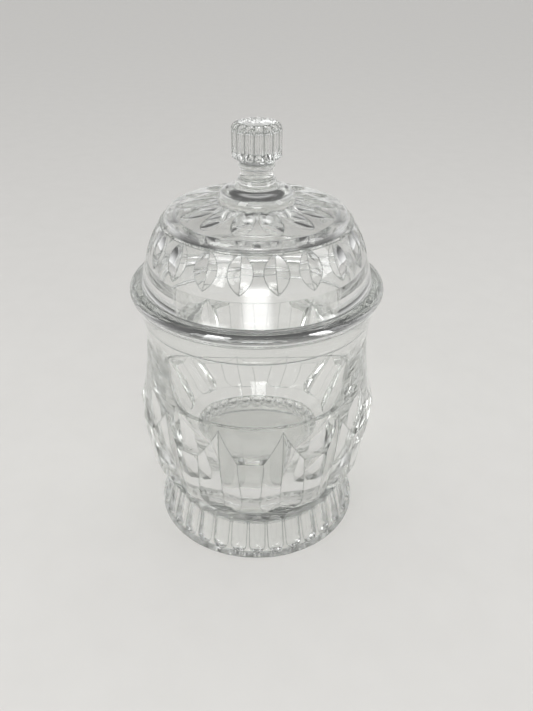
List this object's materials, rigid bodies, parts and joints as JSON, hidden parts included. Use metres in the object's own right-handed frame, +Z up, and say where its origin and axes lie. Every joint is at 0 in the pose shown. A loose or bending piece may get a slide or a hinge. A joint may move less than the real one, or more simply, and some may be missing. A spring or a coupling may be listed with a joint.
{
  "type": "lidded jar",
  "caption": "Footed jar of clear pressed glass with pointed oval cuts round its belly, a fluted foot, and a domed lift-off lid with a fluted knob.",
  "frame": {"origin": "centre of the foot's underside, on the surface the jar stands on", "axes": "+Z up along the jar's axis; -Y towards the viewer of the picture; +X to the viewer's right"},
  "size_m": [0.1344, 0.1344, 0.229],
  "materials": {
    "jar_glass": "clear, fire-polished",
    "lid_glass": "clear, fire-polished"
  },
  "bodies": {
    "jar": {"jar": "jar_glass"},
    "lid": {"lid": "lid_glass"}
  },
  "joints": [
    {"name": "lid_lift", "type": "slide", "parent": "jar", "child": "lid", "axis": [0, 0, 1], "range_m": [0, 0.12]}
  ]
}
